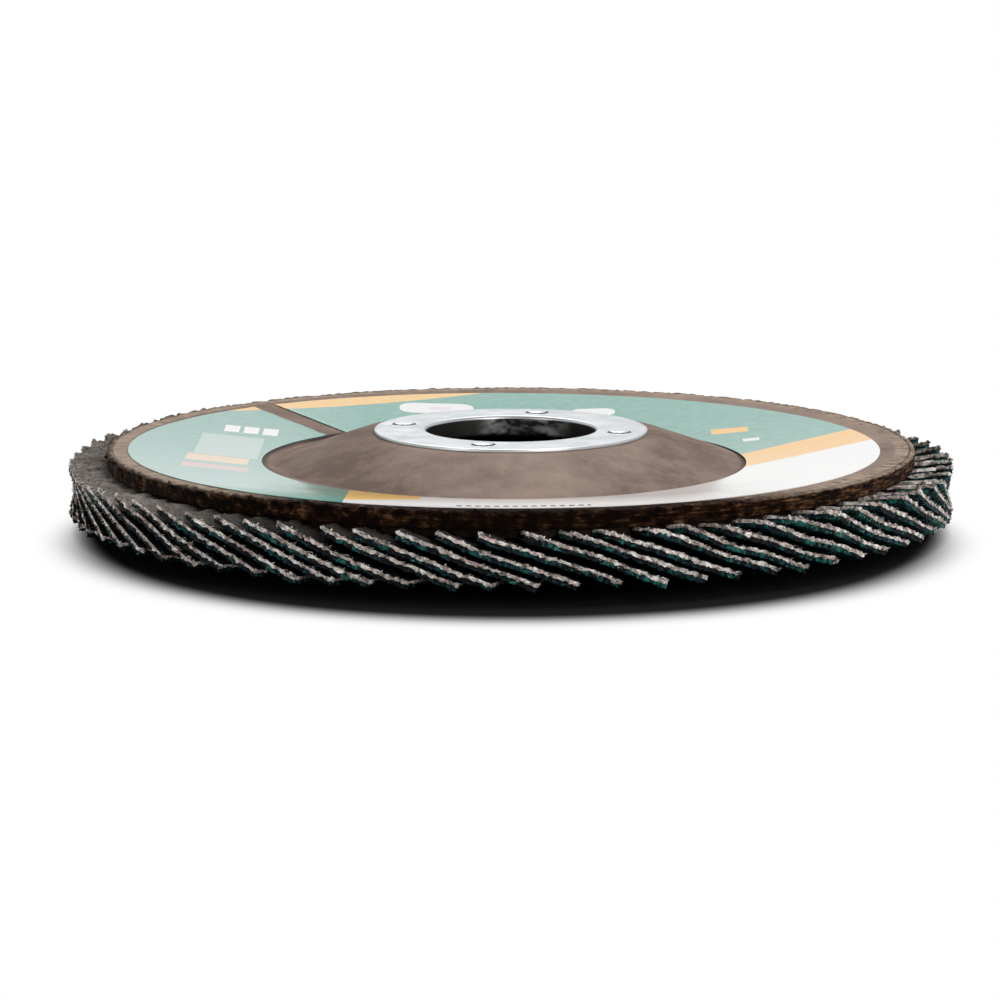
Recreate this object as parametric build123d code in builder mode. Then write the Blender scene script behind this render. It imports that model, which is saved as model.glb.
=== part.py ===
from build123d import *
import os
from math import cos, hypot, radians, sin, sqrt, tan

# Conical flap disc for an angle grinder. A raised-hub backing plate of pressed glass cloth and
# resin carries a steel arbor ring, a paper label and, bedded in resin under its rim, a fan of
# abrasive cloth flaps that lean on one another. Sizes are in millimetres, angles in degrees.
# The disc lies on its flaps. Z is the arbor's axis, up through the hub, and the origin is on
# that axis at the level of the lowest flap corners.

# Driving sizes: the fan of flaps
disc_diameter = 115.0
flap_count = 72
flap_width = 18.4
flap_length = 17.35
flap_thickness = 1.0
flap_root_lean = 21.2
flap_tip_lean = 18.8
cone_angle = 6.3

# Driving sizes: the resin bed that holds the flap roots
bed_inner_setback = 0.25
bed_rim_setback = 0.9
bed_depth = 1.0
bed_web = 0.2
socket_clearance = 0.05

# Driving sizes: the backing plate
flap_overhang = 5.0
rim_land_width = 2.6
annulus_thickness = 2.34
hub_height = 3.58
hub_thickness = 1.8
hub_land_margin = 1.65
hub_flank_run = 11.0
hub_shoulder_chamfer = 1.0
foot_groove_width = 0.8
foot_groove_depth = 0.35

# Driving sizes: the arbor ring
bore_diameter = 22.23
ring_diameter = 35.7
ring_sheet = 0.45
ring_lip_chamfer = 0.35
ring_hole_clearance = 0.05
rolled_lip_reach = 1.6
rolled_lip_chamfer = 0.3
pip_count = 4
pip_diameter = 3.1
pip_height = 0.3
pip_start_angle = 76.0

# Driving sizes: the label, glued on a little off centre, with a slit left between its ends
label_hub_margin = 1.1
label_land_margin = 1.05
label_thickness = 0.15
label_shift = 0.9
label_slit_width = 3.7
label_slit_angle = 128.0
label_slit_bearing = 136.7

# A flap is bent to a gentle arc, steep at its root and flatter at its tip. Seen along its width,
# the cloth back is the inner arc and the grit face the outer one.
flap_bend = radians(flap_root_lean - flap_tip_lean)
face_radius = flap_length / flap_bend
back_radius = face_radius - flap_thickness
back_run = back_radius * (sin(radians(flap_root_lean)) - sin(radians(flap_tip_lean)))
back_drop = back_radius * (cos(radians(flap_tip_lean)) - cos(radians(flap_root_lean)))
flap_height = back_drop + flap_thickness * cos(radians(flap_tip_lean))
flap_spread = back_run + flap_thickness * sin(radians(flap_root_lean))
root_start = flap_spread / 2 - back_run
flap_outer_reach = sqrt((disc_diameter / 2) ** 2 - (flap_spread / 2) ** 2)
flap_inner_reach = flap_outer_reach - flap_width
flap_pitch = 360 / flap_count

# The plate stops short of the flap tips, and its underside is a cone that clears the flap roots
# by the web of the bed
plate_radius = disc_diameter / 2 - flap_overhang
root_inner_radius = hypot(flap_inner_reach, root_start)
cone_slope = tan(radians(cone_angle))


def underside(radius):
    return flap_height + bed_web + (radius - root_inner_radius) * cone_slope


def annulus_top(radius):
    return underside(radius) + annulus_thickness


# Radii and levels that the hub, the ring and the label share
bore_radius = bore_diameter / 2
tube_radius = bore_radius + ring_sheet
plate_hole_radius = tube_radius + ring_hole_clearance
rolled_lip_radius = tube_radius + rolled_lip_reach
ring_radius = ring_diameter / 2
hub_top_radius = ring_radius + hub_land_margin
hub_foot_radius = hub_top_radius + hub_flank_run
groove_edge_radius = hub_foot_radius + foot_groove_width
land_radius = plate_radius - rim_land_width
land_top = annulus_top(land_radius)
groove_bottom = annulus_top(hub_foot_radius) - foot_groove_depth
hub_top = annulus_top(groove_edge_radius) + hub_height
hub_underside = hub_top - hub_thickness
ring_top = hub_top + ring_sheet
ring_bottom = hub_underside - ring_sheet
label_hole_radius = hub_foot_radius + label_hub_margin
label_radius = land_radius - label_land_margin

os.makedirs("parts", exist_ok=True)

# Backing plate: flat hub, sloping flank, a moulded groove at its foot, a conical annulus that
# rises outwards and a flat land along the rim. The underside follows, hollow under the hub.
with BuildPart() as backing_plate:
    with BuildSketch(Plane.XZ) as plate_section:
        with BuildLine():
            Polyline(
                (plate_hole_radius, hub_top),
                (hub_top_radius, hub_top),
                (hub_foot_radius, groove_bottom),
                (groove_edge_radius, annulus_top(groove_edge_radius)),
                (land_radius, land_top),
                (plate_radius, land_top),
                (plate_radius, underside(plate_radius)),
                (hub_foot_radius, underside(hub_foot_radius)),
                (hub_top_radius, hub_underside),
                (plate_hole_radius, hub_underside),
                close=True,
            )
        make_face()
        hub_shoulder = plate_section.vertices().group_by(Axis.Y)[-1].sort_by(Axis.X)[-1]
        chamfer(hub_shoulder, length=hub_shoulder_chamfer)
    revolve(axis=Axis.Z)
backing_plate.part.label = "backing_plate"
export_step(backing_plate.part, "parts/backing_plate.step")

# Arbor ring: a drawn steel eyelet whose flange lies on the hub and whose tube passes through
# the plate and is rolled out under it. Raised pips stand on the flange.
with BuildPart() as arbor_ring:
    with BuildSketch(Plane.XZ) as ring_section:
        with BuildLine():
            Polyline(
                (ring_radius, hub_top),
                (ring_radius, ring_top),
                (bore_radius, ring_top),
                (bore_radius, ring_bottom),
                (rolled_lip_radius, ring_bottom),
                (rolled_lip_radius, hub_underside),
                (tube_radius, hub_underside),
                (tube_radius, hub_top),
                close=True,
            )
        make_face()
        bore_mouths = ring_section.vertices().group_by(Axis.X)[0].sort_by(Axis.Y)
        chamfer(bore_mouths[-1], length=ring_lip_chamfer)
        chamfer(bore_mouths[0], length=rolled_lip_chamfer)
    revolve(axis=Axis.Z)
    with BuildSketch(Plane.XY.offset(ring_top)):
        pip_circle_radius = (bore_radius + ring_radius) / 2
        with PolarLocations(pip_circle_radius, pip_count, start_angle=pip_start_angle):
            Circle(pip_diameter / 2)
    extrude(amount=pip_height)
arbor_ring.part.label = "arbor_ring"
export_step(arbor_ring.part, "parts/arbor_ring.step")

# Label: a printed paper ring that follows the cone of the annulus, slit where its ends meet
with BuildPart() as label:
    with BuildSketch(Plane.XZ):
        with BuildLine():
            inner_reach = label_hole_radius - label_shift
            outer_reach = label_radius + label_shift
            Polyline(
                (inner_reach, annulus_top(inner_reach)),
                (outer_reach, annulus_top(outer_reach)),
                (outer_reach, annulus_top(outer_reach) + label_thickness),
                (inner_reach, annulus_top(inner_reach) + label_thickness),
                close=True,
            )
        make_face()
    revolve(axis=Axis.Z)
    with BuildSketch(Plane.XY):
        with Locations((-label_shift, 0)):
            Circle(label_radius)
            Circle(label_hole_radius, mode=Mode.SUBTRACT)
        slit_reach = (label_hole_radius + label_radius) / 2
        with PolarLocations(slit_reach, 1, start_angle=label_slit_bearing, rotate=False):
            Rectangle(
                label_radius,
                label_slit_width,
                rotation=label_slit_angle,
                mode=Mode.SUBTRACT,
            )
    extrude(amount=ring_top, mode=Mode.INTERSECT)
label.part.label = "label"
export_step(label.part, "parts/label.step")


# One flap stands on a plane across its inner end and runs outwards along the cone. The margin
# grows it all round, which gives the socket that its root takes up in the bed.
def flap_solid(margin):
    plane = Plane(origin=(flap_inner_reach, 0, 0), x_dir=(0, 1, 0), z_dir=(1, 0, 0))
    root_direction = (cos(radians(flap_root_lean)), -sin(radians(flap_root_lean)))
    down_normal = (-sin(radians(flap_root_lean)), -cos(radians(flap_root_lean)))
    root_corner = (
        root_start - margin * (down_normal[0] + root_direction[0]),
        flap_height - margin * (down_normal[1] + root_direction[1]),
    )
    depth = flap_thickness + 2 * margin
    face_corner = (
        root_corner[0] + depth * down_normal[0],
        root_corner[1] + depth * down_normal[1],
    )
    bend_angle = flap_root_lean - flap_tip_lean
    with BuildPart() as solid:
        with BuildSketch(plane):
            with BuildLine():
                back = JernArc(root_corner, root_direction, back_radius - margin, bend_angle)
                face = JernArc(face_corner, root_direction, face_radius + margin, bend_angle)
                Line(back @ 0, face @ 0)
                Line(back @ 1, face @ 1)
            make_face()
        outward = (cos(radians(cone_angle)), 0, sin(radians(cone_angle)))
        extrude(amount=flap_width / cos(radians(cone_angle)), dir=outward)
    return solid.part


flap = flap_solid(0)
flap_socket = flap_solid(socket_clearance)

# Resin bed: a conical ring stuck under the plate, cast round the roots of the flaps, which
# leaves a sloping tooth of resin between each root and the next
with BuildPart() as resin_bed:
    with BuildSketch(Plane.XZ):
        with BuildLine():
            bed_inner_radius = root_inner_radius + bed_inner_setback
            bed_outer_radius = plate_radius - bed_rim_setback
            Polyline(
                (bed_inner_radius, underside(bed_inner_radius)),
                (bed_outer_radius, underside(bed_outer_radius)),
                (bed_outer_radius, underside(bed_outer_radius) - bed_depth),
                (bed_inner_radius, underside(bed_inner_radius) - bed_depth),
                close=True,
            )
        make_face()
    revolve(axis=Axis.Z)
    with PolarLocations(0, flap_count):
        add(flap_socket, mode=Mode.SUBTRACT)
resin_bed.part.label = "resin_bed"
export_step(resin_bed.part, "parts/resin_bed.step")

# The flaps, two opposite ones to a file, each a solid of its own
for pair in range(flap_count // 2):
    with BuildPart() as flap_pair:
        with PolarLocations(0, 2, start_angle=pair * flap_pitch):
            add(flap)
    flap_pair.part.label = f"flap_pair_{pair + 1:02d}"
    export_step(flap_pair.part, f"parts/flap_pair_{pair + 1:02d}.step")
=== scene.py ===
import bpy
import math
import random
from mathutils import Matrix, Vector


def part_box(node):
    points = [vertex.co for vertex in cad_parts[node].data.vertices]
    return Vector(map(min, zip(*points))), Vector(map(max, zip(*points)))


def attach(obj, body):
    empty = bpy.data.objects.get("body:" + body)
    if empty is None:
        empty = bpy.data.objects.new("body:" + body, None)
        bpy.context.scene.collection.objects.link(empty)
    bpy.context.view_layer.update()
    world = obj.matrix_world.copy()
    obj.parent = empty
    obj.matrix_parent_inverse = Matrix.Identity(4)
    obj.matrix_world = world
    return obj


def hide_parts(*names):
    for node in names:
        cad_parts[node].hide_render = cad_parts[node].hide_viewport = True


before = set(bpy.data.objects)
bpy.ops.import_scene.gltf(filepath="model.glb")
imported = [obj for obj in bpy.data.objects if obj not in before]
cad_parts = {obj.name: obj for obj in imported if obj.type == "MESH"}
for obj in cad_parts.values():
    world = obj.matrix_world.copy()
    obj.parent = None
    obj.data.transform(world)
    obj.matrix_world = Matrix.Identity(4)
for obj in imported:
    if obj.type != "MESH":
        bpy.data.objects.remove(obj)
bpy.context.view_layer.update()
mm = 0.001


# ---------------------------------------------------------------------------------------------
# Backing plate. Layers of glass cloth and brown phenolic resin are pressed hot into a shallow
# dish with a raised hub. The rim is punched out, which leaves its top edge ragged and shows the
# layers in its side.


class Link:
    """A shader value that adds, scales and compares like a number."""

    def __init__(self, finish, socket):
        self.finish = finish
        self.socket = socket

    def maths(self, operation, *terms):
        settings = {"operation": operation}
        return self.finish.node("ShaderNodeMath", settings, dict(enumerate(terms)))[0]

    def __add__(self, other):
        return self.maths("ADD", self, other)

    def __radd__(self, other):
        return self.maths("ADD", other, self)

    def __sub__(self, other):
        return self.maths("SUBTRACT", self, other)

    def __rsub__(self, other):
        return self.maths("SUBTRACT", other, self)

    def __mul__(self, other):
        return self.maths("MULTIPLY", self, other)

    def __rtruediv__(self, other):
        return self.maths("DIVIDE", other, self)

    def __lt__(self, other):
        return self.maths("LESS_THAN", self, other)

    def __gt__(self, other):
        return self.maths("GREATER_THAN", self, other)

    def __abs__(self):
        return self.maths("ABSOLUTE", self)


class Finish:
    """One material: its Principled shader and the nodes that feed it."""

    def __init__(self, name, **constants):
        self.material = bpy.data.materials.new(name)
        self.material.use_nodes = True
        self.tree = self.material.node_tree
        self.shader = self.tree.nodes["Principled BSDF"]
        self.wear(**constants)

    def node(self, kind, settings, inputs):
        made = self.tree.nodes.new(kind)
        stops = settings.pop("stops", ())
        for name, value in settings.items():
            setattr(made, name, value)
        for place, (position, colour) in enumerate(stops):
            if place > 1:
                made.color_ramp.elements.new(position)
            made.color_ramp.elements[place].position = position
            made.color_ramp.elements[place].color = (*colour, 1)
        for name, value in inputs.items():
            self.feed(made.inputs[name], value)
        return [Link(self, socket) for socket in made.outputs if socket.enabled]

    def feed(self, socket, value):
        if isinstance(value, Link):
            self.tree.links.new(value.socket, socket)
        elif socket.type == "RGBA":
            socket.default_value = (*value, 1)
        else:
            socket.default_value = value

    def wear(self, **sockets):
        for name, value in sockets.items():
            self.feed(self.shader.inputs[name.replace("_", " ")], value)

    def place(self):
        """Where a point is on the disc, in millimetres."""
        spot = self.node("ShaderNodeTexCoord", {}, {})[3]
        return self.node("ShaderNodeVectorMath", {"operation": "SCALE"}, {0: spot, 3: 1000.0})[0]

    def split(self, vector):
        return self.node("ShaderNodeSeparateXYZ", {}, {0: vector})

    def join(self, x, y, z):
        return self.node("ShaderNodeCombineXYZ", {}, {0: x, 1: y, 2: z})[0]

    def reach(self, x, y):
        flat = self.join(x, y, 0.0)
        return self.node("ShaderNodeVectorMath", {"operation": "LENGTH"}, {0: flat})[0]

    def spokes(self, x, y, radius, round_scale, out_scale):
        """Coordinates for a pattern that runs out from the axis, in its own scale each way."""
        east = x * (1 / radius) * round_scale
        north = y * (1 / radius) * round_scale
        return self.join(east, north, radius * out_scale)

    def noise(self, where, size, detail=2.0, roughness=0.5):
        inputs = {"Vector": where, "Scale": 1 / size, "Detail": detail, "Roughness": roughness}
        return self.node("ShaderNodeTexNoise", {}, inputs)[0]

    def cells(self, where, size):
        return self.node("ShaderNodeTexVoronoi", {}, {"Vector": where, "Scale": 1 / size})

    def ramp(self, value, *stops):
        return self.node("ShaderNodeValToRGB", {"stops": stops}, {0: value})[0]

    def blend(self, mask, under, over, way="MIX"):
        made = {"data_type": "RGBA", "blend_type": way}
        return self.node("ShaderNodeMix", made, {0: mask, 6: under, 7: over})[0]

    def span(self, value, low, high, start=0.0, end=1.0):
        return self.node("ShaderNodeMapRange", {}, {0: value, 1: low, 2: high, 3: start, 4: end})[0]

    def bump(self, height, distance):
        return self.node("ShaderNodeBump", {}, {"Height": height, "Distance": distance * mm})[0]


def turn(name, profile, segments):
    """Turns a closed profile of (radius, height) points in millimetres about the arbor's axis."""
    bpy.ops.object.select_all(action="DESELECT")
    radius, height = profile[0]
    bpy.ops.mesh.primitive_circle_add(
        vertices=segments, radius=radius * mm, location=(0, 0, height * mm)
    )
    piece = bpy.context.object
    piece.name = name
    bpy.ops.object.transform_apply(location=True, rotation=True, scale=True)
    bpy.ops.object.mode_set(mode="EDIT")
    bpy.ops.mesh.select_all(action="SELECT")
    for next_radius, next_height in profile[1:] + profile[:1]:
        bpy.ops.mesh.extrude_edges_move(
            TRANSFORM_OT_translate={"value": (0, 0, (next_height - height) * mm)}
        )
        bpy.ops.transform.resize(
            value=(next_radius / radius, next_radius / radius, 1), center_override=(0, 0, 0)
        )
        radius, height = next_radius, next_height
    bpy.ops.mesh.select_all(action="SELECT")
    bpy.ops.mesh.remove_doubles(threshold=0.002 * mm)
    bpy.ops.mesh.normals_make_consistent(inside=False)
    bpy.ops.object.mode_set(mode="OBJECT")
    bpy.ops.object.shade_smooth_by_angle(angle=math.radians(40))
    return piece


def run(points, step):
    """Puts extra points along the straight runs of a profile, at about the given spacing."""
    fine = []
    for (r0, z0), (r1, z1) in zip(points, points[1:]):
        parts = max(1, round(math.hypot(r1 - r0, z1 - z0) / step))
        fine += [(r0 + (r1 - r0) * i / parts, z0 + (z1 - z0) * i / parts) for i in range(parts)]
    return fine + [points[-1]]


def rounded(corner, before, after, reach, steps=5):
    """Points of a rounded corner between two runs of a profile."""
    ends = []
    for end in (before, after):
        share = reach / math.dist(end, corner)
        ends.append([corner[k] + (end[k] - corner[k]) * share for k in (0, 1)])
    curve = []
    for step in range(steps + 1):
        t = step / steps
        weights = ((1 - t) ** 2, 2 * t * (1 - t), t * t)
        points = (ends[0], corner, ends[1])
        curve.append(tuple(sum(w * p[k] for w, p in zip(weights, points)) for k in (0, 1)))
    return curve


def roughen(piece, texture, strength, group="", direction="NORMAL"):
    """Displaces a piece by a texture that stands still in space, and applies it."""
    bpy.context.view_layer.objects.active = piece
    displace = piece.modifiers.new("Roughen", "DISPLACE")
    displace.texture = texture
    displace.texture_coords = "LOCAL"
    displace.mid_level = 0.5
    displace.strength = strength * mm
    displace.direction = direction
    displace.vertex_group = group
    bpy.ops.object.modifier_apply(modifier=displace.name)


def cloud(name, size, depth=2, contrast=1.0):
    """A cloudy texture for roughen, with lumps of about the given size in millimetres."""
    texture = bpy.data.textures.new(name, "CLOUDS")
    texture.noise_scale = size * mm
    texture.noise_depth = depth
    texture.contrast = contrast
    return texture


plate_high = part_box("backing_plate")[1]
rim_radius = plate_high.x / mm
hub_top = plate_high.z / mm
cone_slope = math.tan(math.radians(6.3))
land_radius = 49.9
rim_top = 10.575
rim_thickness = 2.34
rim_bottom = rim_top - rim_thickness + (rim_radius - land_radius) * cone_slope
under_hub = hub_top - 1.8
groove_depth = 0.26


def annulus(radius):
    """Height of the plate's conical top face."""
    return rim_top - (land_radius - radius) * cone_slope


hub_hole = (11.7, hub_top)
hub_edge = (19.5, hub_top)
hub_foot = (30.8, annulus(30.8) - groove_depth)
groove_edge = (31.5, annulus(31.5))
land_edge = (land_radius, rim_top)
top_side = (
    run([hub_hole, (18.3, hub_top)], 1.3)
    + rounded(hub_edge, hub_hole, hub_foot, 1.1)
    + run([(20.8, hub_top - 1.3 * (hub_top - hub_foot[1]) / 11.3), hub_foot], 0.6)
    + [(31.0, hub_foot[1] + 0.02), (31.2, hub_foot[1] + 0.10)]
    + rounded(groove_edge, hub_foot, land_edge, 0.16, 3)
    + run([(32, annulus(32)), (land_radius - 0.4, annulus(land_radius - 0.4))], 1.2)
)
rim_side = (
    run([land_edge, (rim_radius - 0.2, rim_top)], 0.18)
    + [(rim_radius - 0.07, rim_top - 0.03), (rim_radius - 0.01, rim_top - 0.12)]
    + run([(rim_radius, rim_top - 0.26), (rim_radius, rim_bottom + 0.12)], 0.16)
    + [(rim_radius - 0.04, rim_bottom + 0.04), (rim_radius - 0.16, rim_bottom)]
)
under_side = run(
    [
        (rim_radius - 1.2, rim_bottom - 1.04 * cone_slope),
        (30.5, rim_bottom - 22.0 * cone_slope),
        (19.5, under_hub),
        (11.7, under_hub),
    ],
    2.2,
)
backing_plate = turn("backing_plate_laminate", top_side + rim_side + under_side, 800)

ragged = backing_plate.vertex_groups.new(name="ragged_rim")
pressed = backing_plate.vertex_groups.new(name="pressed_face")
for vertex in backing_plate.data.vertices:
    radius = math.hypot(vertex.co.x, vertex.co.y) / mm
    near_rim = min(1.0, max(0.0, (radius - rim_radius + 1.1) / 0.9))
    if near_rim:
        torn = 0.35 + 0.65 * min(1.0, max(0.0, 0.35 - (vertex.co.x + vertex.co.y) / mm / 60))
        high = vertex.co.z / mm > rim_top - 0.6
        ragged.add([vertex.index], torn * near_rim * (1.0 if high else 0.4), "REPLACE")
    pressed.add([vertex.index], 1.0 if radius > 20.5 else 0.15, "REPLACE")
roughen(backing_plate, cloud("rim_tears", 0.9, 3, 2.2), 0.62, "ragged_rim")
roughen(backing_plate, cloud("rim_waves", 3.2, 1), 0.45, "ragged_rim")
roughen(backing_plate, cloud("pressed_ripple", 3.0, 1), 0.07, "pressed_face")

laminate = Finish("plate_laminate", IOR=1.45, Specular_IOR_Level=0.1)
where = laminate.place()
x, y, z = laminate.split(where)
radius = laminate.reach(x, y)
mottle = laminate.noise(where, 2.6, 5.0, 0.62)
speckle = laminate.noise(where, 0.33, 3.0, 0.6)
stains = laminate.noise(where, 9.0, 2.0)
ridges = laminate.noise(laminate.spokes(x, y, radius, 16.0, 0.28), 1.0, 3.0, 0.55)
# Painted shade: the plate's colour is darker toward the left, blotched by the stains, as if the
# light came from the right.
painted_shade_to_left = laminate.span(x + stains * 12.0, -16.0, 6.0, -0.085, 0.005)
on_flank = laminate.span(radius, 34.0, 31.0)
# Painted shade: on the hub the colour darkens to the left and right of its middle, so the middle
# looks lit.
left_flank_painted_shade = laminate.span(x, -8.0, -16.0, 0.0, -0.070) + laminate.span(x, -21.0, -27.0, 0.0, 0.075)
right_flank_painted_shade = laminate.span(x, 8.0, 19.0, 0.0, -0.105)
shade = (left_flank_painted_shade + right_flank_painted_shade) * on_flank
pressed_brown = laminate.ramp(
    mottle * 0.36 + speckle * 0.16 + ridges * 0.10 + stains * 0.38 + painted_shade_to_left + shade,
    (0.32, (0.150, 0.103, 0.080)),
    (0.44, (0.245, 0.178, 0.145)),
    (0.54, (0.310, 0.228, 0.187)),
    (0.68, (0.395, 0.300, 0.250)),
)
streaks = laminate.noise(laminate.spokes(x, y, radius, 46.0, 0.30), 0.8, 4.0, 0.65)
worn_brown = laminate.ramp(
    streaks * 0.62 + mottle * 0.38,
    (0.30, (0.080, 0.055, 0.040)),
    (0.41, (0.235, 0.173, 0.130)),
    (0.60, (0.430, 0.325, 0.248)),
)
layers = laminate.noise(laminate.join(x * 0.26, y * 0.26, z * 2.2), 0.8, 5.0, 0.66)
flakes = laminate.noise(where, 1.5, 5.0, 0.60)
# The rim's side shows its layers more and is lighter toward the right: partly the strata, partly
# painted light from the right.
strata_and_painted_light = laminate.span(x, -15.0, 35.0)
sawn_brown = laminate.ramp(
    layers * (0.30 + strata_and_painted_light * 0.38) + flakes * (0.70 - strata_and_painted_light * 0.38) + strata_and_painted_light * 0.018,
    (0.44, (0.0030, 0.0012, 0.0006)),
    (0.51, (0.0150, 0.0056, 0.0020)),
    (0.57, (0.0700, 0.0300, 0.0120)),
    (0.64, (0.2400, 0.1300, 0.0700)),
)
on_rim = laminate.span(radius, land_radius - 0.2, land_radius + 0.4)
on_side = laminate.span(radius, rim_radius - 0.75, rim_radius - 0.50)
below_edge = laminate.span(z + flakes * 0.5, rim_top + 0.13, rim_top - 0.03)
# Painted shade: the land's outer edge is dark across the front, and rougher there.
front_land_painted_shade = laminate.span(y + flakes * 10.0, -30.0, -40.0) * laminate.span(radius, 49.3, 49.9)
crazing = laminate.noise(laminate.spokes(x, y, radius, 26.0, 0.10), 1.0, 2.0)
cracked = laminate.span(abs(crazing - 0.5), 0.016, 0.006) * laminate.span(x, 30.0, 42.0)
worn_edge = laminate.span(radius + flakes * 1.4, rim_radius + 0.05, rim_radius + 0.5)
worn_edge = worn_edge * laminate.span(x, 30.0, -5.0, 0.15, 1.0)
# Painted shade: the rim's side is darker across the front, fading out toward the left and right.
front_painted_shade = laminate.span(abs(x) + flakes * 14.0, 14.0, 46.0, 0.70, 0.0) * (y < 0.0)
sawn_brown = laminate.blend(front_painted_shade, sawn_brown, (0.0050, 0.0018, 0.0011))
brown = laminate.blend(on_rim, pressed_brown, worn_brown)
brown = laminate.blend(on_rim * cracked * 0.85, brown, (0.020, 0.012, 0.008))
brown = laminate.blend(worn_edge * 0.75, brown, (0.016, 0.009, 0.006))
brown = laminate.blend(front_land_painted_shade, brown, sawn_brown)
brown = laminate.blend(on_side * below_edge, brown, sawn_brown)
# Painted shade: a dark line round the label's inner edge, in the crease at the hub's foot, fading
# out toward the front.
crease_painted_shade = laminate.span(abs(laminate.reach(x + 0.9, y + 1.0) - 31.4), 0.75, 0.25)
brown = laminate.blend(crease_painted_shade * laminate.span(y, -16.0, 6.0) * 0.9, brown, (0.022, 0.014, 0.011))
grain = laminate.noise(where, 0.18, 3.0, 0.6)
relief = grain * 0.25 + mottle * 0.3 + ridges * 0.1 + (layers + flakes * 1.5) * on_side * 2.0
laminate.wear(
    Base_Color=brown,
    Roughness=laminate.span(mottle, 0.3, 0.7, 0.6, 0.85) + front_land_painted_shade * 0.3,
    Normal=laminate.bump(relief, 0.22),
)
backing_plate.data.materials.append(laminate.material)
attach(backing_plate, "root")
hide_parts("backing_plate")


# ---------------------------------------------------------------------------------------------
# Arbor ring. A tinned steel eyelet is drawn from thin sheet, with four pips pressed up in its
# flange. Its tube goes down through the plate and is rolled out under it, which clamps the two.

ring_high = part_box("arbor_ring")[1].z / mm - 0.3
ring_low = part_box("arbor_ring")[0].z / mm
flange_radius = 17.85
bore_radius = 11.115
tube_radius = bore_radius + 0.45
rolled_radius = tube_radius + 1.6
ring_profile = (
    [(flange_radius - 0.06, hub_top), (flange_radius, hub_top + 0.07)]
    + [(flange_radius, ring_high - 0.1), (flange_radius - 0.03, ring_high - 0.03)]
    + [(flange_radius - 0.1, ring_high)]
    + run([(flange_radius - 0.3, ring_high), (bore_radius + 0.5, ring_high)], 0.24)
    + rounded(
        (bore_radius, ring_high), (flange_radius, ring_high), (bore_radius, ring_low), 0.42, 6
    )
    + run([(bore_radius, ring_high - 0.6), (bore_radius, ring_low + 0.4)], 0.4)
    + rounded(
        (bore_radius, ring_low), (bore_radius, ring_high), (rolled_radius, ring_low), 0.34, 5
    )
    + [(rolled_radius - 0.12, ring_low), (rolled_radius, ring_low + 0.12)]
    + [(rolled_radius, under_hub - 0.1), (rolled_radius - 0.1, under_hub)]
    + [(tube_radius + 0.1, under_hub), (tube_radius, under_hub + 0.1)]
    + [(tube_radius, hub_top - 0.1), (tube_radius + 0.1, hub_top)]
)
arbor_ring = turn("arbor_ring_steel", ring_profile, 540)

pip_reach = 14.4825
pip_bearings = [math.radians(76 + 90 * pip) for pip in range(4)]
pip_places = [(pip_reach * math.cos(way), pip_reach * math.sin(way)) for way in pip_bearings]
for pip_x, pip_y in pip_places:
    for reach, lift in ((1.62, 0.05), (1.42, 0.12), (1.18, 0.08), (0.8, 0.03)):
        bpy.ops.object.mode_set(mode="EDIT")
        bpy.ops.mesh.select_all(action="DESELECT")
        bpy.ops.object.mode_set(mode="OBJECT")
        for vertex in arbor_ring.data.vertices:
            far = math.hypot(vertex.co.x / mm - pip_x, vertex.co.y / mm - pip_y)
            vertex.select = far < reach and vertex.co.z / mm > ring_high - 0.01
        bpy.ops.object.mode_set(mode="EDIT")
        bpy.ops.transform.translate(value=(0, 0, lift * mm))
bpy.ops.object.mode_set(mode="OBJECT")

tinned = Finish("ring_steel", IOR=1.45, Specular_Tint=(0.64, 0.66, 0.67))
where = tinned.place()
x, y, z = tinned.split(where)
radius = tinned.reach(x, y)
spangle = tinned.cells(where, 1.7)
haze = tinned.noise(where, 3.2, 3.0)
scuff = tinned.noise(tinned.join(x * 0.5, y * 2.6, z), 0.5, 4.0, 0.7)
tin = tinned.blend(haze, (0.52, 0.58, 0.55), (0.62, 0.59, 0.64))
tin = tinned.blend((scuff > 0.68) * 0.3, tin, (0.45, 0.46, 0.46))
# Painted reflections: the bore's wall is grey with lighter blotches in its middle, and dark toward
# its sides.
bore_painted_reflections = tinned.noise(tinned.join(x * 0.4, y * 0.4, z * 0.8), 1.0, 2.0, 0.6)
bore_painted_reflection_grey = tinned.ramp(bore_painted_reflections, (0.38, (0.040, 0.039, 0.038)), (0.62, (0.480, 0.470, 0.460)))
in_bore = (radius < bore_radius + 0.1) * tinned.span(z, ring_high - 0.30, ring_high - 0.45)
bore_painted_reflection_grey = tinned.blend(tinned.span(abs(x - 1.7), 6.5, 3.5), (0.080, 0.077, 0.072), bore_painted_reflection_grey)
tin = tinned.blend(in_bore, tin, bore_painted_reflection_grey)
# Painted shade and painted reflection: a dark ring round the foot of each pip, made rough and not
# metallic there.
pip_painted_shade = 0.0
for pip_x, pip_y in pip_places:
    off_pip = tinned.reach(x - pip_x, y - pip_y)
    pip_painted_shade = pip_painted_shade + (off_pip > 1.28) * (off_pip < 1.6) * (z > ring_high - 0.1)
tin = tinned.blend(pip_painted_shade * 0.85, tin, (0.035, 0.035, 0.035))
tinned.wear(
    Base_Color=tin,
    Metallic=0.9 - pip_painted_shade * 0.9,
    Roughness=tinned.span(haze + scuff * 0.4, 0.4, 0.9, 0.26, 0.42) + pip_painted_shade * 0.4,
    Normal=tinned.bump(scuff + spangle[0] * 0.3, 0.012),
)
arbor_ring.data.materials.append(tinned.material)
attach(arbor_ring, "root")
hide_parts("arbor_ring")


# ---------------------------------------------------------------------------------------------
# Label. A varnished paper ring, printed in green, orange and white, is glued on the plate a
# little off centre. It is cut once, so that it can lie on the cone, and its ends leave a slit.

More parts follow.
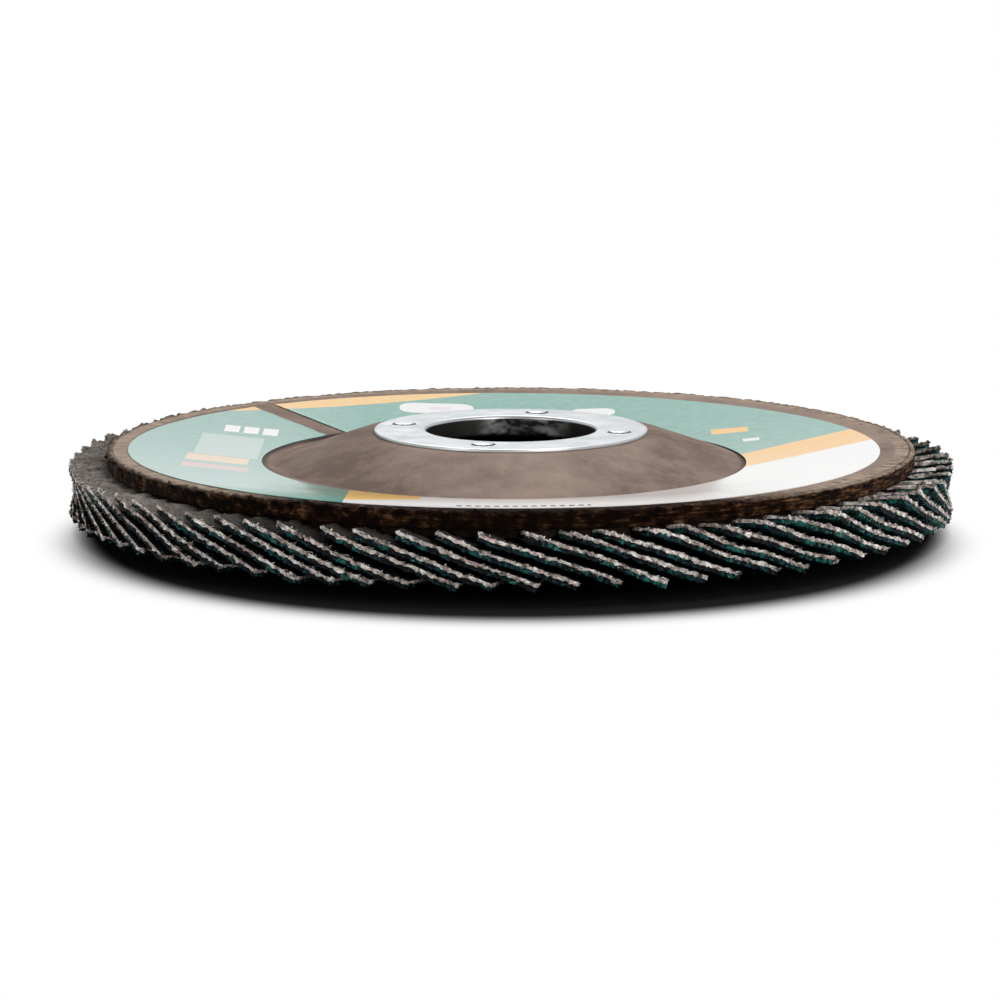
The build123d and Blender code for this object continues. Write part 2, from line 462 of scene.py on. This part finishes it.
label_shift = (-0.9, -1.0)
label_hole = 31.6
label_reach = 48.85
label_sheet = 0.07
bpy.ops.object.select_all(action="DESELECT")
bpy.ops.mesh.primitive_circle_add(vertices=420, radius=label_hole * mm)
label = bpy.context.object
label.name = "label_paper"
bpy.ops.object.mode_set(mode="EDIT")
bpy.ops.mesh.select_all(action="SELECT")
radius = label_hole
inner_rings = (31.75, 32.1, 33, 34.5, 36, 37.5, 39, 40.5)
outer_rings = (42, 43.5, 45, 46.5, 47.8, 48.5, label_reach)
for next_radius in inner_rings + outer_rings:
    bpy.ops.mesh.extrude_edges_move(TRANSFORM_OT_translate={"value": (0, 0, 0)})
    grow = next_radius / radius
    bpy.ops.transform.resize(value=(grow, grow, 1), center_override=(0, 0, 0))
    radius = next_radius
bpy.ops.mesh.select_all(action="SELECT")
bpy.ops.transform.translate(value=(label_shift[0] * mm, label_shift[1] * mm, 0))

slit_half_width = 1.85
slit_reach = 40.225
slit_bearing = math.radians(136.7)
slit_along = (math.cos(math.radians(128)), math.sin(math.radians(128)))
slit_across = (slit_along[1], -slit_along[0])
slit_middle = (slit_reach * math.cos(slit_bearing), slit_reach * math.sin(slit_bearing))
slit_offset = slit_across[0] * slit_middle[0] + slit_across[1] * slit_middle[1]


def across_slit(spot):
    """How far a point lies to the side of the slit's middle line, or None on its far side."""
    along = (spot.x * slit_along[0] + spot.y * slit_along[1]) / mm
    if along < 15:
        return None
    return (spot.x * slit_across[0] + spot.y * slit_across[1]) / mm - slit_offset


for side in (-slit_half_width, slit_half_width):
    bpy.ops.object.mode_set(mode="OBJECT")
    for face in label.data.polygons:
        away = across_slit(face.center)
        face.select = away is not None and abs(away - side) < 1.5
    bpy.ops.object.mode_set(mode="EDIT")
    bpy.ops.mesh.bisect(
        plane_co=[(slit_middle[k] + slit_across[k] * side) * mm for k in (0, 1)] + [0],
        plane_no=(slit_across[0], slit_across[1], 0),
    )
    bpy.ops.mesh.select_all(action="DESELECT")
bpy.ops.object.mode_set(mode="OBJECT")
for face in label.data.polygons:
    away = across_slit(face.center)
    face.select = away is not None and abs(away) < slit_half_width
bpy.ops.object.mode_set(mode="EDIT")
bpy.ops.mesh.delete(type="FACE")
bpy.ops.mesh.select_all(action="SELECT")
bpy.ops.mesh.normals_make_consistent(inside=False)
bpy.ops.object.mode_set(mode="OBJECT")
for vertex in label.data.vertices:
    radius = math.hypot(vertex.co.x, vertex.co.y) / mm
    away = across_slit(vertex.co)
    curl = 0.0
    if away is not None:
        curl = 0.07 * max(0.0, 1 - (abs(away) - slit_half_width) / 1.6) ** 2
    vertex.co.z = (annulus(radius) + 0.01 + curl) * mm
sheet = label.modifiers.new("Sheet", "SOLIDIFY")
sheet.thickness = label_sheet * mm
sheet.offset = 1 if label.data.polygons[0].normal.z > 0 else -1
bpy.ops.object.modifier_apply(modifier=sheet.name)
roughen(label, cloud("label_cockle", 7.0, 1), 0.04, "", "Z")
bpy.ops.object.shade_smooth_by_angle(angle=math.radians(40))

printed = Finish("label_paper", Specular_IOR_Level=0.0, Coat_Roughness=0.12, Coat_IOR=1.5)
where = printed.place()
x, y, z = printed.split(where)
painted_glare_green = (0.145, 0.360, 0.305)
deep_green = (0.080, 0.322, 0.250)
orange = (0.880, 0.455, 0.040)
cream = (0.860, 0.850, 0.840)


def within(value, low, high):
    return (value > low) * (value < high)


def above_zero(value):
    return value.maths("MAXIMUM", value, 0.0)


def panel(x_low, x_high, y_low, y_high):
    return within(x, x_low, x_high) * within(y, y_low, y_high)


band = y * math.cos(math.radians(33)) - x * math.sin(math.radians(33))
chord = y * 0.8854 - x * 0.4649
right_of_seam = x > -20.0
# Painted reflection: the green is paler toward the left, as glare on the varnish.
green = printed.blend(printed.span(x, -30.0, -20.0), painted_glare_green, deep_green)
paint = printed.blend(chord > 44.1, green, (0.860, 0.500, 0.110))
paint = printed.blend(within(band, -22.07, -13.3) * right_of_seam, paint, orange)
paint = printed.blend((band < -22.07) * right_of_seam, paint, cream)
paint = printed.blend(panel(-41.4, -33.1, -2.4, 13.3) * 0.35, paint, cream)
paint = printed.blend(panel(-42, -34, -8.3, -2.9) * 0.85, paint, (0.850, 0.540, 0.300))
paint = printed.blend(panel(-42, -33.5, -14.9, -10.8) * 0.6, paint, (0.850, 0.380, 0.350))
for left in (-38.8, -36.2, -33.6):
    paint = printed.blend(panel(left, left + 2.0, 15.9, 20.1), paint, cream)
paint = printed.blend(panel(27.3, 32.3, 19, 22), paint, orange)
patch = printed.reach(above_zero(abs(x + 10.5) - 3.0), above_zero(abs(y - 38.5) - 0.6))
paint = printed.blend((patch < 2.2) * 0.95, paint, cream)
paint = printed.blend(panel(-11.5, -8.5, 37.6, 39.4) * 0.4, paint, (0.60, 0.45, 0.70))
patch = printed.reach(above_zero(abs(x - 11.5) - 1.4), above_zero(abs(y - 36.2) - 0.4))
paint = printed.blend((patch < 1.7) * 0.95, paint, cream)
paint = printed.blend(panel(31.2, 33.4, 12.6, 14.4) * 0.9, paint, cream)
stroke = x.maths("FRACT", x * 0.9)
dashes = within(stroke, 0.2, 0.78) * within(printed.reach(x + 0.9, y + 1.0), 44.6, 46.4)
paint = printed.blend(dashes * within(x, -6.5, 9.5) * (y < 0.0) * 0.9, paint, (0.06, 0.05, 0.05))
ink = printed.noise(where, 1.4, 4.0, 0.6)
fibre = printed.noise(where, 0.22, 3.0, 0.6)
rubbed = printed.noise(printed.join(x * 0.35, y, z), 1.1, 4.0, 0.7)
paint = printed.blend(printed.span(ink, 0.4, 0.75) * 0.10, paint, (0.9, 0.9, 0.9))
paint = printed.blend((rubbed > 0.63) * 0.35, paint, (0.50, 0.52, 0.51))
near_edge = printed.span(y, -32.0, -44.0)
front_end = right_of_seam * (x < 0.0) * (y < -20.0)
paint = printed.blend(front_end * (band > -24.0), paint, cream)
matt_bar = front_end * (band > -24.0) * (x < -11.0)
paint = printed.blend(matt_bar, paint, (1.000, 0.600, 0.130))
printed.wear(
    Base_Color=paint,
    Coat_Weight=1 - near_edge * 0.65,
    Roughness=printed.span(ink, 0.3, 0.7, 0.36, 0.5),
    Normal=printed.bump(fibre * 0.3 + ink, 0.02),
)
label.data.materials.append(printed.material)
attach(label, "root")
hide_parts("label")


# ---------------------------------------------------------------------------------------------
# Resin bed. Brown phenolic glue is cast under the plate round the roots of the flaps, and its
# teeth show between them from below.

glue = Finish("bed_resin", IOR=1.5, Specular_IOR_Level=0.1)
where = glue.place()
flow = glue.noise(where, 1.8, 4.0)
glue.wear(
    Base_Color=glue.ramp(flow, (0.35, (0.004, 0.002, 0.001)), (0.65, (0.026, 0.013, 0.007))),
    Roughness=glue.span(flow, 0.3, 0.7, 0.25, 0.5),
    Normal=glue.bump(flow, 0.25),
)
resin_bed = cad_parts["resin_bed"]
resin_bed.data.materials.clear()
resin_bed.data.materials.append(glue.material)


# ---------------------------------------------------------------------------------------------
# Flaps. Polyester and cotton cloth is coated with resin and dark blue-green zirconia grit, and
# chopped into flaps, which leaves pale frayed threads at their cut edges. Each lies on the next
# and is held by its root in the resin bed.

flap_length = 17.35
flap_width = 18.4
flap_inner_reach = 38.496
flap_root_start = -7.951
flap_height = 6.866
root_lean = math.radians(21.2)
tip_lean = math.radians(18.8)
back_bend_radius = flap_length / (root_lean - tip_lean) - 1.0
cloth_thickness = 0.42
grit_thickness = 0.62


def on_flap(width, along, depth):
    """A point of a flap, in metres: out from its inner end, along from its root, and down."""
    lean = root_lean - (root_lean - tip_lean) * along
    back_y = flap_root_start + back_bend_radius * (math.sin(root_lean) - math.sin(lean))
    back_z = flap_height - back_bend_radius * (math.cos(lean) - math.cos(root_lean))
    return (
        (flap_inner_reach + width) * mm,
        (back_y - depth * math.sin(lean)) * mm,
        (back_z - depth * math.cos(lean) + width * cone_slope) * mm,
    )


def lay(piece, columns_split, width_split, top):
    """Lays a flat blank, one unit square, along the lean and cone of the flaps."""
    for vertex in piece.data.vertices:
        across, along = vertex.co.x + 0.5, vertex.co.y + 0.5
        if across < columns_split:
            width = across / columns_split * width_split
        else:
            share = (across - columns_split) / (1 - columns_split)
            width = width_split + share * (flap_width - width_split)
        vertex.co = on_flap(width, along, top - vertex.co.z / mm)


def blank(name, columns, rows, thickness, rings, hide_first):
    """A flat slab one unit square: a fine grid on one face, one plain face on the hidden side."""
    bpy.ops.object.select_all(action="DESELECT")
    bpy.ops.mesh.primitive_grid_add(x_subdivisions=columns, y_subdivisions=rows, size=1)
    piece = bpy.context.object
    piece.name = name
    bpy.ops.object.mode_set(mode="EDIT")
    bpy.ops.mesh.select_all(action="SELECT")
    for ring in range(rings):
        bpy.ops.mesh.extrude_region_move(
            TRANSFORM_OT_translate={"value": (0, 0, -thickness * mm / rings)}
        )
    bpy.ops.object.mode_set(mode="OBJECT")
    hidden = 0.0 if hide_first else -thickness * mm
    for face in piece.data.polygons:
        face.select = all(
            abs(piece.data.vertices[i].co.z - hidden) < 0.01 * mm for i in face.vertices
        )
    bpy.ops.object.mode_set(mode="EDIT")
    bpy.ops.mesh.dissolve_faces()
    bpy.ops.mesh.select_all(action="SELECT")
    bpy.ops.mesh.normals_make_consistent(inside=False)
    bpy.ops.object.mode_set(mode="OBJECT")
    return piece


cloth = Finish("abrasive_cloth", Roughness=0.95, Specular_IOR_Level=0.08)
where = cloth.place()
soil = cloth.noise(where, 2.4, 4.0, 0.6)
yarn = cloth.noise(where, 0.35, 2.0)
x, y, z = cloth.split(where)
level = z - (cloth.reach(x, y) - flap_inner_reach) * cone_slope
back = cloth.ramp(
    soil * 0.6 + yarn * 0.4,
    (0.32, (0.085, 0.074, 0.064)),
    (0.50, (0.205, 0.185, 0.165)),
    (0.66, (0.340, 0.310, 0.282)),
)
# Painted shade: the cloth's back goes nearly black where it lies low, under the next flap.
covered_painted_shade = cloth.span(level + soil * 1.2, 6.3, 5.2)
# Painted shade: the flaps' backs are darker at the front left.
front_left_painted_shade = cloth.span(x + soil * 20.0, -36.0, -20.0) * (y < -30.0)
back = cloth.blend(front_left_painted_shade * 0.88, back, (0.008, 0.007, 0.006))
cloth.wear(
    Base_Color=cloth.blend(covered_painted_shade * 0.96, back, (0.004, 0.004, 0.005)),
    Normal=cloth.bump(yarn, 0.2),
)
frayed = Finish("frayed_threads", Roughness=0.95)
where = frayed.place()
strand = frayed.noise(where, 0.9, 5.0, 0.72)
tint = frayed.noise(where, 1.3, 1.0)
pale = frayed.ramp(
    strand,
    (0.36, (0.085, 0.075, 0.068)),
    (0.45, (0.330, 0.292, 0.265)),
    (0.53, (0.640, 0.590, 0.545)),
    (0.62, (1.000, 0.965, 0.920)),
)
pink = frayed.blend(frayed.span(tint, 0.52, 0.62) * 0.5, pale, (0.62, 0.34, 0.34), "MULTIPLY")
x, y, z = frayed.split(where)
# The threads are darker on the right of the disc, from its middle backwards.
back_right_darker = frayed.span(y, -3.0, 4.0) * (x > 40.0)
pink = frayed.blend(back_right_darker * 0.75, pink, (0.20, 0.18, 0.14), "MULTIPLY")
frayed.wear(Base_Color=pink, Normal=frayed.bump(strand, 0.25))
grit = Finish("zirconia_grit", IOR=1.6, Specular_IOR_Level=0.1)
where = grit.place()
distance, shade, _ = grit.cells(where, 0.42)
level = grit.split(shade)
patches = grit.noise(where, 3.4, 4.0, 0.6) + grit.split(where)[0] * 0.0010
grit.wear(
    Base_Color=grit.ramp(
        level[0] * 0.25 + patches * 0.75,
        (0.49, (0.004, 0.005, 0.006)),
        (0.54, (0.006, 0.012, 0.022)),
        (0.58, (0.006, 0.045, 0.050)),
        (0.66, (0.010, 0.125, 0.098)),
        (0.75, (0.090, 0.230, 0.180)),
    ),
    Roughness=grit.span(level[1], 0.0, 1.0, 0.4, 0.85),
    Normal=grit.bump(1 - distance, 0.22),
)

cloth_blank = blank("flap_cloth", 22, 58, cloth_thickness, 2, False)
cloth_blank.data.materials.append(cloth.material)
cloth_blank.data.materials.append(frayed.material)
for face in cloth_blank.data.polygons:
    face.material_index = 0 if face.normal.z > 0.7 else 1
tip_zone = 2.6
lay(cloth_blank, 0.45, flap_width - tip_zone, 0.0)

grit_blank = blank("flap_grit", 36, 58, grit_thickness, 2, True)
grit_blank.data.materials.append(grit.material)
lay(grit_blank, 0.62, flap_width - tip_zone, cloth_thickness - 0.04)

for piece, group_name in ((cloth_blank, "threads"), (grit_blank, "grains")):
    free = piece.vertex_groups.new(name="free_end")
    coat = piece.vertex_groups.new(name=group_name)
    for vertex in piece.data.vertices:
        out = vertex.co.x / mm - flap_inner_reach
        free.add([vertex.index], max(0.0, (out - 9) / (flap_width - 9)) ** 1.5, "REPLACE")
        coat.add([vertex.index], 1.0, "REPLACE")

fray = random.Random(72)
flap_blanks = []
for variant in range(3):
    tufts = []
    for tuft in range(64):
        spread = (fray.random(), fray.random(), fray.random() ** 3, 1 - fray.random() ** 4)
        along = fray.choice(spread)
        end = max(0.0, abs(along - 0.5) * 2 - 0.8) * 5
        thread_root = on_flap(flap_width - 0.1, along, fray.uniform(0.02, cloth_thickness))
        bpy.ops.object.select_all(action="DESELECT")
        bpy.ops.mesh.primitive_cone_add(
            vertices=3,
            radius1=fray.uniform(0.04, 0.09) * (1 + 1.2 * end) * mm,
            radius2=(0.015 + 0.04 * end) * mm,
            depth=fray.uniform(0.4, 1.1) * (1 - 0.35 * end) * mm,
            location=thread_root,
            rotation=(fray.uniform(-1.1, 1.1), math.pi / 2 + fray.uniform(-0.9, 0.5), 0),
        )
        thread = bpy.context.object
        thread.data.materials.append(frayed.material)
        tufts.append(thread)
    copies = []
    for part in (cloth_blank, grit_blank):
        copy = part.copy()
        copy.data = part.data.copy()
        bpy.context.collection.objects.link(copy)
        copies.append(copy)
    bpy.ops.object.select_all(action="DESELECT")
    for piece in copies + tufts:
        piece.select_set(True)
    bpy.context.view_layer.objects.active = copies[0]
    bpy.ops.object.join()
    copies[0].name = f"flap_blank_{variant}"
    flap_blanks.append(copies[0])

grains = bpy.data.textures.new("grit_grains", "VORONOI")
grains.noise_scale = 0.42 * mm
grains.noise_intensity = 1.3
threads = cloud("cut_threads", 0.55, 3, 1.8)
sway = cloud("flap_sway", 7.0, 0, 1.4)

pair_count = 36
flap_pitch = 5
for pair in range(pair_count):
    bpy.ops.object.select_all(action="DESELECT")
    copies = []
    for turned in (pair * flap_pitch, pair * flap_pitch + 180):
        model = fray.choice(flap_blanks)
        copy = model.copy()
        copy.data = model.data.copy()
        bpy.context.collection.objects.link(copy)
        copy.rotation_euler.z = math.radians(turned + fray.uniform(-0.55, 0.55))
        copy.location.z = fray.uniform(0.0, 0.16) * mm
        copy.select_set(True)
        copies.append(copy)
    bpy.context.view_layer.objects.active = copies[0]
    bpy.ops.object.transform_apply(location=True, rotation=True, scale=True)
    bpy.ops.object.join()
    flap_pair = bpy.context.object
    flap_pair.name = f"flap_pair_{pair + 1:02d}_cloth"
    roughen(flap_pair, sway, 0.5, "free_end", "Z")
    roughen(flap_pair, grains, -0.34, "grains")
    roughen(flap_pair, threads, 0.50, "threads")
    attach(flap_pair, "root")
    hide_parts(f"flap_pair_{pair + 1:02d}")
for piece in flap_blanks + [cloth_blank, grit_blank]:
    bpy.data.objects.remove(piece)


# ---------------------------------------------------------------------------------------------
# Studio. A wide white floor, four round soft boxes and even light all round. The floor is painted
# dark under the disc and in a soft fade in front of it, a painted shadow, and is plain white
# further out.

floor_half = 12.0
bpy.ops.object.select_all(action="DESELECT")
bpy.ops.mesh.primitive_grid_add(x_subdivisions=2, y_subdivisions=2, size=2 * floor_half)
floor = bpy.context.object
floor.name = "studio_floor"
paper = Finish("studio_paper", Roughness=1.0)
paper.wear(Specular_IOR_Level=0.0)
spot = paper.place()
x, y, z = paper.split(spot)
# Painted shadow: the floor's colour is near black under the disc and fades to white in front of it.
outside_painted_contact_shadow = paper.span(paper.reach(x, y), 54.5, 57.5)
fade = {"interpolation_type": "SMOOTHSTEP"}
from_shadow = {0: paper.reach(x, y + 9.0), 1: 51.5, 2: 62.0}
clear_of_shadow = paper.node("ShaderNodeMapRange", fade, from_shadow)[0]
white_out = outside_painted_contact_shadow * clear_of_shadow
paper.wear(Base_Color=paper.blend(white_out, (0.02, 0.02, 0.02), (0.93, 0.93, 0.93)))
ray = paper.node("ShaderNodeLightPath", {}, {})
seen = ray[0].maths("MAXIMUM", ray[0], ray[0].maths("MAXIMUM", ray[3], ray[6]))
glow = paper.tree.nodes.new("ShaderNodeEmission")
mix = paper.tree.nodes.new("ShaderNodeMixShader")
paper.feed(mix.inputs[0], white_out * seen)
paper.tree.links.new(paper.shader.outputs[0], mix.inputs[1])
paper.tree.links.new(glow.outputs[0], mix.inputs[2])
paper.tree.links.new(mix.outputs[0], paper.tree.nodes["Material Output"].inputs["Surface"])
floor.data.materials.append(paper.material)

world = bpy.data.worlds.new("studio_light")
bpy.context.scene.world = world
world.use_nodes = True
room = Finish.__new__(Finish)
room.tree = world.node_tree
ray = room.node("ShaderNodeLightPath", {}, {})
sideways, ahead, height = room.split(room.node("ShaderNodeTexCoord", {}, {})[0])
backdrop = room.span(height, 0.45, 0.80, 1.0, 0.35) * room.span(ahead, -0.6, 0.3, 0.5, 1.0)
evenly = room.span(ahead, -0.7, 0.3, 0.16, 0.46)
mirrored = ray[0].maths("MAXIMUM", ray[3], ray[6])
strength = ray[0].maths("MAXIMUM", ray[0], mirrored * backdrop + (1 - mirrored) * evenly)
room.feed(world.node_tree.nodes["Background"].inputs["Color"], (1, 1, 1))
room.feed(world.node_tree.nodes["Background"].inputs["Strength"], strength)


def soft_box(name, location, degrees, size, energy):
    """A round lamp, turned about X, Y and Z by the given degrees."""
    turned = tuple(math.radians(angle) for angle in degrees)
    bpy.ops.object.light_add(type="AREA", location=location, rotation=turned)
    lamp = bpy.context.object
    lamp.name = name
    lamp.data.shape = "DISK"
    lamp.data.size = size
    lamp.data.energy = energy
    return lamp


overhead = soft_box("soft_box_overhead", (0.36, -0.05, 0.62), (4, 30, 0), 0.6, 2.15)
overhead.visible_glossy = False
soft_box("soft_box_behind", (-0.05, 0.55, 0.55), (-45, 0, 0), 0.42, 2.2)
soft_box("soft_box_front", (0.30, -0.52, 0.24), (68, 0, 30), 0.4, 1.4)
soft_box("soft_box_side", (-0.42, -0.42, 0.10), (80, 0, -45), 0.3, 0.4)

bpy.ops.object.camera_add(location=(0, -474.57 * mm, (ring_high + 72.0) * mm))
camera = bpy.context.object
camera.data.lens = 132.156
camera.data.sensor_width = 36
camera.rotation_euler = (math.radians(90 - 9.746), 0, math.radians(0.172))
camera.data.clip_start = 0.01
camera.data.clip_end = 50
bpy.context.scene.camera = camera
bpy.context.scene.view_settings.view_transform = "Standard"
